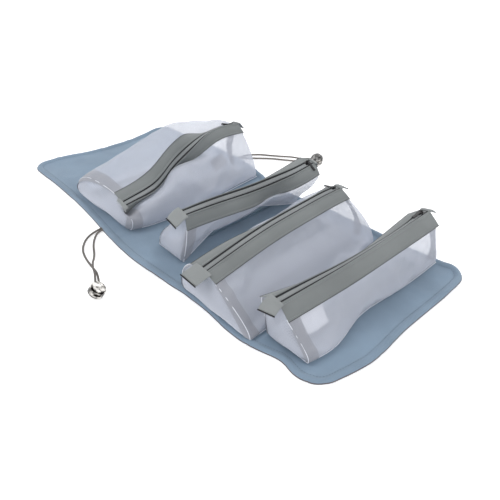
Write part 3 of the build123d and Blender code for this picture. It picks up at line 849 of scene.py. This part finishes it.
POUCHES = [
    Pouch(
        number=1,
        base_y=(-115, 120),
        end_swell=(16, 7),
        strip_width=18.5,
        tabs=((6, 24, 88, 0), (12, 14, 58, 0)),
        slack=0.014,
        right_seam=(0.6, 0.52, 0.5, 0.6, 0.7),
        stations=[
            Station((-70, -112, 37), -14, -22, -100, (-197, -53),
                    ((-12, 34), (-55, 2)), ((10, 10), (22, 14))),
            Station((-68, -92, 41), -20, -20, -128, (-197, -46), ((-9, 48), (-55, 14)), ((9, 16), (34, 26))),
            Station((-68, -60, 47), -44, -30, -138, (-197, -41), ((-5, 58), (-53, 18)), ((8, 26), (40, 34))),
            Station((-90, -14, 55), -60, -45, -142, (-197, -38), ((-4, 64), (-47, 17)), ((8, 30), (42, 42))),
            Station((-105, 30, 64), -24, -34, -90, (-197, -41), ((-2, 67), (-38, 22)), ((4, 36), (30, 20))),
            Station((-112, 81, 75), 28, 30, -46, (-197, -46), ((-3, 62), (-28, 28)), ((-2, 34), (14, 2))),
            Station((-105, 125, 77), 8, 30, -34, (-197, -49), ((-4, 52), (-22, 14)), ((-4, 26), (7, -16))),
        ],
    ),
    Pouch(
        number=2,
        base_y=(-104, 108),
        end_swell=(8, 7),
        strip_width=18.5,
        tabs=((17, 21, 42, 0), (7, 16, 75, 0)),
        slack=0.014,
        right_seam=(0.35, 0.4, 0.5, 0.6),
        stations=[
            Station((44, -92, 67), -16, 60, -66, (2, 56), ((-5, 20), (-6, -14)), ((2, 16), (2, -14))),
            Station((48, -45, 67), -32, 58, -62, (2, 42), ((-5, 20), (-7, -14)), ((6, 14), (4, -14)), 8),
            Station((56, 10, 67), -42, 50, -62, (2, 30), ((-5, 22), (-8, -14)), ((10, 12), (6, -14)), 13),
            Station((60, 52, 68), -34, 34, -92, (2, 31), ((-5, 22), (-8, -14)), ((12, 14), (18, -2)), 12),
            Station((62, 90, 69), -22, 20, -52, (2, 40), ((-4, 22), (-8, -14)), ((8, 14), (6, -14)), 5),
            Station((60, 128, 70), -10, 12, -41, (2, 52), ((-4, 22), (-7, -16)), ((2, 18), (3, -16))),
        ],
    ),
    Pouch(
        number=3,
        base_y=(-134, 110),
        end_swell=(11, 14),
        strip_width=18.5,
        tabs=((19, 27, 14, 0), (12, 13, 30, 0)),
        slack=0.016,
        right_seam=(0.75, 0.66, 0.62, 0.7, 0.75),
        stations=[
            Station((138, -134, 54), -4, 14, -20, (98, 216), ((-8, 22), (-12, -6)), ((3, 14), (15, -6))),
            Station((132, -75, 58), -6, 24, -24, (94, 214), ((-8, 24), (-14, -2)), ((3, 15), (18, -7))),
            Station((128, -30, 60), -6, 40, -26, (91, 211), ((-8, 26), (-14, 4)), ((2, 16), (20, -9))),
            Station((127, 42, 63), -4, 48, -26, (83, 203), ((-8, 28), (-14, 4)), ((2, 16), (18, -11))),
            Station((125, 90, 62), -2, 40, -28, (77, 197), ((-6, 26), (-12, 0)), ((1, 16), (13, -12))),
            Station((124, 112, 60), 0, 30, -28, (75, 194), ((-5, 22), (-9, -8)), ((1, 15), (10, -10))),
        ],
    ),
    Pouch(
        number=4,
        base_y=(-112, 135),
        end_swell=(8, 6),
        strip_width=21.5,
        tabs=((15, 20, 58, -22), (11, 14, 38, 0)),
        slack=0.014,
        right_seam=(0.85, 0.85, 0.85, 0.85),
        stations=[
            Station((231, -112, 57), -10, 30, -48, (221, 280), ((2, 14), (-2, -12)), ((4, 12), (8, -12))),
            Station((237, -72, 61), 6, 45, -48, (221, 284), ((3, 15), (-2, -12)), ((4, 14), (6, -14))),
            Station((243, -20, 64), 28, 55, -46, (221, 272), ((3, 15), (-2, -12)), ((8, 12), (6, -14))),
            Station((245, 40, 65), 40, 50, -46, (221, 273), ((3, 15), (-2, -12)), ((7, 12), (6, -14))),
            Station((245, 95, 66), 36, 40, -42, (221, 275), ((3, 15), (-2, -12)), ((3, 14), (4, -14))),
            Station((243, 138, 67), 14, 40, -38, (221, 274), ((2, 14), (-2, -12)), ((1, 16), (2, -14))),
        ],
    ),
]


NET_BASE = 10  # cells across the base and across the top
NET_SIDE = 14  # cells up each side panel
NET_RING = 2 * (NET_BASE + NET_SIDE)


def curve_between(start, start_pull, end_pull, end, count):
    """Points of a cubic curve; the pulls are offsets of its handles from its ends."""
    s = np.linspace(0, 1, count + 1)[:, None]
    start, end = np.array(start, float), np.array(end, float)
    a, b = start + start_pull, end + end_pull
    return start * (1 - s) ** 3 + a * 3 * s * (1 - s) ** 2 + b * 3 * s**2 * (1 - s) + end * s**3


def net_ring(pouch, share):
    """Closed section of the net: base, front panel, top under the strips and zip, back panel."""
    strip_back, zip_back, zip_front, strip_front = pouch.corners(share)
    back_x, front_x, *pulls, lift = pouch.section(share)[6:]
    pulls = np.reshape(pulls, (4, 2))
    low_back, low_front = np.array([back_x, BASE_Z]), np.array([front_x, BASE_Z + lift])
    base = curve_between(low_back, (4, 0), (-4, -lift / 3), low_front, NET_BASE)
    front = curve_between(low_front, pulls[2], pulls[3], strip_front, NET_SIDE)
    back = curve_between(strip_back, pulls[1], pulls[0], low_back, NET_SIDE)
    top = []
    spans = ((strip_front, zip_front, 4), (zip_front, zip_back, 2), (zip_back, strip_back, 4))
    for start, end, cells in spans:
        top += [start + (end - start) * i / cells for i in range(cells)]
    flat = [*base[:-1], *front[:-1], *top, *back[:-1]]
    return [pouch.place(share, p) for p in flat]


def length_shares(pouch):
    """Shares along the pouch: close together at its ends, where the seams are."""
    length = pouch.base_y[1] - pouch.base_y[0]
    near = np.array([0, 2.5, 5.5, 9, 13.5]) / length
    return np.concatenate([near, np.linspace(19 / length, 1 - 19 / length, 36), 1 - near[::-1]])


def gusset(ring, swell, side):
    """Points of an end gusset, between the two halves of the end ring, in rows from the base up."""
    ring = np.array(ring)
    rows = []
    for r in range(NET_SIDE + 1):
        back, front = ring[(NET_RING - r) % NET_RING], ring[NET_BASE + r]
        v = r / NET_SIDE
        row = []
        for c in range(NET_BASE + 1):
            u = c / NET_BASE
            low, high = ring[c], ring[2 * NET_BASE + NET_SIDE - c]
            low_line = ring[0] * (1 - u) + ring[NET_BASE] * u
            high_line = ring[2 * NET_BASE + NET_SIDE] * (1 - u) + ring[NET_BASE + NET_SIDE] * u
            point = back * (1 - u) + front * u + (low - low_line) * (1 - v) + (high - high_line) * v
            out = swell * math.sin(math.pi * u) ** 0.7 * math.sin(math.pi * v**0.5)
            row.append(point + np.array([0, side * out, 0]))
        rows.append(row)
    return np.array(rows)


def net_mesh(pouch):
    """Points and faces of the net bag, how many rings it has, and the point numbers of both gussets."""
    shares = length_shares(pouch)
    rings = np.array([net_ring(pouch, s) for s in shares])
    points = list(rings.reshape(-1, 3))
    faces = grid_faces(len(shares), NET_RING, closed=True)
    gussets = []
    for end, side in ((0, -1), (len(shares) - 1, 1)):
        rows = gusset(rings[end], pouch.end_swell[0 if end == 0 else 1], side)
        index = np.zeros((NET_SIDE + 1, NET_BASE + 1), int)
        for r in range(NET_SIDE + 1):
            for c in range(NET_BASE + 1):
                if r == 0:
                    i = c
                elif r == NET_SIDE:
                    i = 2 * NET_BASE + NET_SIDE - c
                elif c == 0:
                    i = NET_RING - r
                elif c == NET_BASE:
                    i = NET_BASE + r
                else:
                    index[r, c] = len(points)
                    points.append(rows[r, c])
                    continue
                index[r, c] = end * NET_RING + i % NET_RING
        for r in range(NET_SIDE):
            for c in range(NET_BASE):
                quad = (index[r, c], index[r, c + 1], index[r + 1, c + 1], index[r + 1, c])
                faces.append(quad if end else quad[::-1])
        gussets.append(index)
    return np.array(points), faces, len(shares), gussets


def is_top(column):
    """True for the ring's points under the strips and the zip."""
    return NET_BASE + NET_SIDE <= column <= 2 * NET_BASE + NET_SIDE


NET_CLOTH = {
    "quality": 6,
    "mass": 0.08,
    "tension_stiffness": 12,
    "compression_stiffness": 12,
    "shear_stiffness": 4,
    "bending_stiffness": 0.25,
    "air_damping": 2,
    "use_pressure": True,
    "uniform_pressure_force": 0.35,
}


def slacken(name, points, faces, pinned, slack, frames=14, most=9):
    """Lets the net hang as cloth with some spare, between its pinned points. Returns the new points."""
    start = np.array(points, float)
    wobble = np.stack([ripple(start[:, 0] + start[:, 2], start[:, 1], 42, k) for k in (11, 12, 13)], axis=1)
    free = 1 - np.array(pinned)[:, None]
    start += wobble * free * 1.6
    body = mesh_object(name + "_cloth", start, faces)
    group = body.vertex_groups.new(name="pins")
    for i, weight in enumerate(pinned):
        group.add([i], weight, "REPLACE")
    cloth = body.modifiers.new("cloth", "CLOTH")
    settings = cloth.settings
    for key, value in NET_CLOTH.items():
        setattr(settings, key, value)
    settings.vertex_group_mass = "pins"
    settings.shrink_min = -slack
    settings.effector_weights.gravity = 0.25
    cloth.collision_settings.use_collision = False
    cloth.point_cache.frame_start = 1
    cloth.point_cache.frame_end = frames
    scene = bpy.context.scene
    for step in range(1, frames + 1):
        scene.frame_set(step)
    posed = body.evaluated_get(bpy.context.evaluated_depsgraph_get())
    moved = np.zeros(len(start) * 3)
    posed.data.vertices.foreach_get("co", moved)
    moved = moved.reshape(-1, 3) / MM
    scene.frame_set(1)
    bpy.data.objects.remove(body)
    shift = moved - points
    far = np.linalg.norm(shift, axis=1)[:, None]
    shift *= np.minimum(1, most / np.maximum(far, 1e-6))
    moved = points + shift
    moved[:, 2] = np.maximum(moved[:, 2], BASE_Z - 0.6)
    return moved


def net_pins(pouch, points, rows):
    """How firmly each point of the net is held: fully under the strips and at the base, partly at seams."""
    pins = np.zeros(len(points))
    for r in range(rows):
        for c in range(NET_RING):
            firm = 1.0 if is_top(c) or c <= NET_BASE else 0.0
            if r in (0, rows - 1):
                firm = max(firm, 0.6)
            pins[r * NET_RING + c] = firm
    return pins


def offset_along_normals(points, faces, distance):
    """The points moved off the surface they span."""
    mesh = bpy.data.meshes.new("normals")
    mesh.from_pydata([tuple(p) for p in points], [], [tuple(f) for f in faces])
    mesh.validate()
    normals = np.zeros(len(points) * 3)
    mesh.vertices.foreach_get("normal", normals)
    bpy.data.meshes.remove(mesh)
    return points + normals.reshape(-1, 3) * distance


def part_of(name, points, faces, uvs):
    """Smooth object from some of a mesh's faces, with unused points left out."""
    used = sorted({i for f in faces for i in f})
    number = {old: new for new, old in enumerate(used)}
    made = mesh_object(
        name,
        [points[i] for i in used],
        [tuple(number[i] for i in f) for f in faces],
        [uvs[i] for i in used],
    )
    subdivided(made).boundary_smooth = "PRESERVE_CORNERS"
    return made


def net_uvs(points, rows):
    """UVs in metres: along the pouch and round its section, and across each gusset."""
    uvs = np.zeros((len(points), 2))
    grid = points[: rows * NET_RING].reshape(rows, NET_RING, 3)
    around = np.linalg.norm(np.diff(grid, axis=1), axis=2).mean(axis=0).cumsum()
    uvs[: rows * NET_RING, 0] = np.tile(np.concatenate([[0], around]), rows)
    uvs[: rows * NET_RING, 1] = np.repeat(grid[:, :, 1].mean(axis=1), NET_RING)
    uvs[rows * NET_RING :, 0] = points[rows * NET_RING :, 0]
    uvs[rows * NET_RING :, 1] = points[rows * NET_RING :, 2]
    return uvs * MM


def strip_profile(width):
    """Section of an edge strip, rolled at the zip: (distance from the zip, height above the net)."""
    near_zip = [(-0.3, 0.3), (-0.5, 1.0), (-0.1, 1.5), (0.7, 1.6), (1.5, 1.3), (2.2, 1.15), (2.7, 0.85)]
    from_edge = [(3.2, 1.05), (2.7, 0.8), (2.2, 1.05), (0.5, 1.0), (0, 0.6), (0.4, 0.2)]
    near_edge = [(width - a, height) for a, height in from_edge]
    return [*near_zip, (3.2, 1.1), (width / 2, 1.15), *near_edge, (width / 2, 0.2)]


def along_strip(pouch, front, profile, shares):
    """Sections of something that lies on an edge strip, along the pouch."""
    sections = []
    for share in shares:
        strip_back, zip_back, zip_front, strip_front = pouch.corners(share)
        root, edge = (zip_front, strip_front) if front else (zip_back, strip_back)
        way = (edge - root) / np.linalg.norm(edge - root)
        out = np.array([-way[1], way[0]]) if front else np.array([way[1], -way[0]])
        sections.append([pouch.place(share, root + way * a + out * h) for a, h in profile])
    return sections


def along_zip(pouch, profile, shares):
    """Sections of something that lies along the middle of the zip: profile is (across, outward)."""
    sections = []
    for share in shares:
        _, zip_back, zip_front, _ = pouch.corners(share)
        way = (zip_front - zip_back) / np.linalg.norm(zip_front - zip_back)
        out = np.array([-way[1], way[0]])
        middle = (zip_front + zip_back) / 2
        sections.append([pouch.place(share, middle + way * a + out * h) for a, h in profile])
    return sections


def edge_strips(pouch):
    """Strips beside the zip, with two rows of stitches each and a dark outer edge."""
    shares = np.linspace(0, 1, 70)
    width = pouch.strip_width
    solids, edges, seams = [], [], []
    for front in (False, True):
        solids.append(loft("strip", along_strip(pouch, front, strip_profile(width), shares)))
        line = along_strip(pouch, front, [(width - 0.1, 0.9)], shares)
        edges.append(tube("edge", np.array(line)[:, 0], 0.38, 6))
        for place in (STRIP_SEAM, width - STRIP_SEAM):
            heights = [(place, 1.0), (place, 2.0)]
            line = np.array(along_strip(pouch, front, heights, np.linspace(0.01, 0.99, 120)))
            seams.append((line[:, 0], line[:, 1] - line[:, 0]))
    made = dress(joined(solids, pouch.piece("edge_strips")), "strip")
    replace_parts(made, pouch.piece("strips"))
    thread = stitched(pouch.piece("stitches"), seams, length=1.7, pitch=2.5, thick=0.2)
    dress(thread, "strip_thread")
    edge = dress(joined(edges, pouch.piece("strip_edges")), "strip_edge")
    return [made, thread, edge]


def zip_pieces(pouch):
    """Two tapes with a coil down the middle; the coil's turns are ridges across it. The tapes carry a
    painted shadow: near-black for the shade under the strips' rolled edges.
    """
    shares = np.linspace(0, 1, 60)
    tapes = []
    for side in (-1, 1):
        profile = [(side * a, h) for a, h in TAPE_SECTION]
        tapes.append(loft("tape_painted_shadow", along_zip(pouch, profile if side > 0 else profile[::-1], shares)))
    tape_painted_shadow = dress(joined(tapes, pouch.piece("zip_tapes_painted_shadow")), "tape_painted_shadow")
    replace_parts(tape_painted_shadow, pouch.piece("zip"))
    turns = int((pouch.base_y[1] - pouch.base_y[0]) / COIL_TURN)
    steps = len(COIL_HEIGHTS)
    sections = []
    for i, share in enumerate(np.linspace(0.005, 0.995, turns * steps)):
        height = COIL_HEIGHTS[i % steps]
        half = COIL_HALF_WIDTHS[i % steps]
        profile = [(-half, 0), (-half * 0.8, height * 0.7), (-half * 0.4, height), (-0.25, height * 0.75),
                   (0.25, height * 0.75), (half * 0.4, height), (half * 0.8, height * 0.7), (half, 0)]
        sections.append(along_zip(pouch, profile, [share])[0])
    coil = dress(loft(pouch.piece("zip_coil"), sections), "coil")
    return [tape_painted_shadow, coil]


def zip_tab(pouch, end):
    """Folded cloth tab sewn over one end of the zip, with a dark binding at its fold."""
    length, width, drop, twist = pouch.tabs[end]
    side = (-1, 1)[end]
    _, zip_back, zip_front, _ = pouch.corners(end)
    middle = pouch.place(end, (zip_back + zip_front) / 2)
    tilt = math.atan2(*(zip_front - zip_back)[::-1])
    across = np.array([math.cos(tilt), 0, math.sin(tilt)])
    out = np.array([-math.sin(tilt), 0, math.cos(tilt)])
    grip = 2.5  # how far it lies on the zip
    fold = 1.3  # half its thickness
    line = [(-side * grip, 2.0), (-side * grip * 0.4, 2.3), (side * 1.0, 2.0)]
    angle = math.radians(drop)
    for share in (0.25, 0.5, 0.75, 1.0):
        bend = angle * min(1, share * 1.6)
        last = line[-1]
        line.append((last[0] + side * math.cos(bend) * length / 4, last[1] - math.sin(bend) * length / 4))
    half = width / 2
    sections = []
    for k, (ahead, height) in enumerate(line):
        share = k / (len(line) - 1)
        turn = math.radians(twist) * share
        way = across * math.cos(turn) + np.array([0, side, 0]) * math.sin(turn)
        thick = fold * (0.55 if k == 0 else 1)
        ring = []
        for a, h in TAB_SECTION:
            ring.append(middle + np.array([0, ahead, 0]) + out * (height + h * thick - 1) + way * a * half)
        sections.append(ring)
    last = np.array(sections[-1])
    tip = last.mean(axis=0)
    ahead = tip - np.array(sections[-2]).mean(axis=0)
    ahead /= np.linalg.norm(ahead)
    sections.append(tip + (last - tip) * 0.96 + ahead * 0.9)
    end_name = ("left", "right")[end]
    tab = dress(loft(pouch.piece(f"tab_{end_name}"), sections), "tab")
    subdivided(tab)
    corners = (TAB_SECTION.index((-1, 0)), TAB_SECTION.index((1, 0)))
    rim = [tip + (sections[-1][i] - tip) * 1.03 + ahead * 0.7 for i in corners]
    binding = tube(pouch.piece(f"tab_binding_{end_name}"), np.linspace(*rim, 9), 0.8, 8)
    dress(binding, "black_edge")
    return [tab, binding]


def seam_piping(pouch, points, rows, gussets):
    """Corded seams round the left gusset, up the right one and along the base."""
    left, right = (points[index] for index in gussets)
    band = gusset_band(points, gussets[1], pouch.right_seam, SEAM_BAND, 0.2)
    at_ends = [left[:, -1], left[:, 0], left[0], right[0], band[:, 0]]
    along = [points[column : rows * NET_RING : NET_RING] for column in (0, NET_BASE)]
    tubes = []
    centre = points.mean(axis=0)
    for i, line in enumerate(at_ends + along):
        keys = np.arange(len(line))
        outward = line - centre
        line = line + outward / np.linalg.norm(outward, axis=1)[:, None] * 0.25
        dense = smooth_curve(keys, line, np.linspace(0, len(line) - 1, 3 * len(line)))
        up = (0, 1, 0) if i < len(at_ends) else (0, 0, 1)
        tubes.append(tube(f"seam_{i}", dense, 0.5, 6, up))
    return dress(joined(tubes, pouch.piece("seam_cords")), "piping")


def gusset_band(points, index, places, width, out):
    """Points of a band that runs up a gusset from its base to the zip, in rows across."""
    rows = []
    for r in range(NET_SIDE + 1):
        line = points[index[r]]
        along = np.concatenate([[0], np.linalg.norm(np.diff(line, axis=0), axis=1).cumsum()])
        place = np.interp(r / NET_SIDE, np.linspace(0, 1, len(places)), places)
        middle = min(max(place * along[-1], width / 2), along[-1] - width / 2)
        at = middle + np.linspace(-0.5, 0.5, 4) * min(width, along[-1])
        rows.append([[np.interp(a, along, line[:, k]) for k in range(3)] for a in at])
    rows = np.array(rows)
    rows[:, :, 1] += out
    return rows


def seam_bands(pouch, points, faces, rows, gussets):
    """Seam allowances: a second layer of net beside the left end's seams and along the right end's one; the
    right band's darker colour is partly the real double layer and partly painted shade.
    """
    inner = offset_along_normals(points, faces, -0.7)
    wide = 4  # cells at the left end
    chosen = []
    cells = (rows - 1) * NET_RING
    for f in range(wide * NET_RING):
        c = f % NET_RING
        if NET_BASE <= c < NET_BASE + NET_SIDE or c >= 2 * NET_BASE + NET_SIDE:
            chosen.append(faces[f])
    for r in range(NET_SIDE):
        for c in (0, NET_BASE - 1):
            chosen.append(faces[cells + r * NET_BASE + c])
    left = part_of(pouch.piece("seam_bands"), inner, chosen, net_uvs(inner, rows))
    band = gusset_band(points, gussets[1], pouch.right_seam, SEAM_BAND, -1.2)
    quads = grid_faces(*band.shape[:2])
    right = mesh_object(pouch.piece("right_seam_band"), band.reshape(-1, 3), quads, rows_uv(band))
    subdivided(right)
    # The right band is darker than the left ones: part real double layer, part painted shade.
    return [dress(left, "net_double"), dress(right, "net_band_painted_shade")]


def net_shell(pouch, points, faces, rows):
    """The net bag, open under the strips and the zip."""
    cells = (rows - 1) * NET_RING
    under_strips = range(NET_BASE + NET_SIDE, 2 * NET_BASE + NET_SIDE)
    chosen = [f for i, f in enumerate(faces) if i >= cells or i % NET_RING not in under_strips]
    made = part_of(pouch.piece("net"), points, chosen, net_uvs(points, rows))
    dress(made, "net")
    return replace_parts(made, pouch.piece("base"), pouch.piece("sides"), pouch.piece("ends"))


def panel_patch(name, points, rows, shares, heights, out, cells=(14, 10)):
    """Thin patch sewn on the front panel, between two places along it and two heights."""
    grid = points[: rows * NET_RING].reshape(rows, NET_RING, 3)[:, NET_BASE : NET_BASE + NET_SIDE + 1]
    row_at = np.linspace(*[s * (rows - 1) for s in shares], cells[0])
    column_at = np.linspace(*[h * NET_SIDE for h in heights], cells[1])
    along = smooth_curve(np.arange(rows), grid.reshape(rows, -1), row_at).reshape(cells[0], NET_SIDE + 1, 3)
    patch = np.array([smooth_curve(np.arange(NET_SIDE + 1), line, column_at) for line in along])
    faces = grid_faces(*cells)
    flat = patch.reshape(-1, 3)
    made = mesh_object(name, offset_along_normals(flat, faces, out), faces, rows_uv(patch))
    thick = made.modifiers.new("thickness", "SOLIDIFY")
    thick.thickness = 0.35 * MM
    thick.offset = 1
    return made


def make_pouch(pouch):
    points, faces, rows, gussets = net_mesh(pouch)
    points = slacken(f"pouch_{pouch.number}", points, faces, net_pins(pouch, points, rows), pouch.slack)
    made = [net_shell(pouch, points, faces, rows), *seam_bands(pouch, points, faces, rows, gussets)]
    made.append(seam_piping(pouch, points, rows, gussets))
    made += edge_strips(pouch) + zip_pieces(pouch)
    for end in (0, 1):
        made += zip_tab(pouch, end)
    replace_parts(made[-2], pouch.piece("tabs"))
    if pouch.number == 4:
        label = panel_patch("pouch_4_blank_label", points, rows, (0.07, 0.2), (0.55, 0.95), 0.8)
        dress(label, "label")
        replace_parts(label, "pouch_4_label")
        made.append(label)
    if pouch.number == 1:
        patch = panel_patch("pouch_1_patch", points, rows, (0.66, 0.77), (0.42, 0.64), 1.2)
        made.append(dress(patch, "net_band_painted_shade"))
    for piece in made:
        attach(piece, f"pouch_{pouch.number}")
    for part, material in (("hook", "hook_loop"), ("slider", "black_metal"), ("pull", "black_metal")):
        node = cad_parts[pouch.piece(part)]
        dress(node, material)
        rounded(node, 0.25)
    dress(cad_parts[f"loop_strip_{pouch.number}"], "hook_loop")


camera()
studio()
cords_and_locks()
mat()
for pouch in POUCHES:
    make_pouch(pouch)
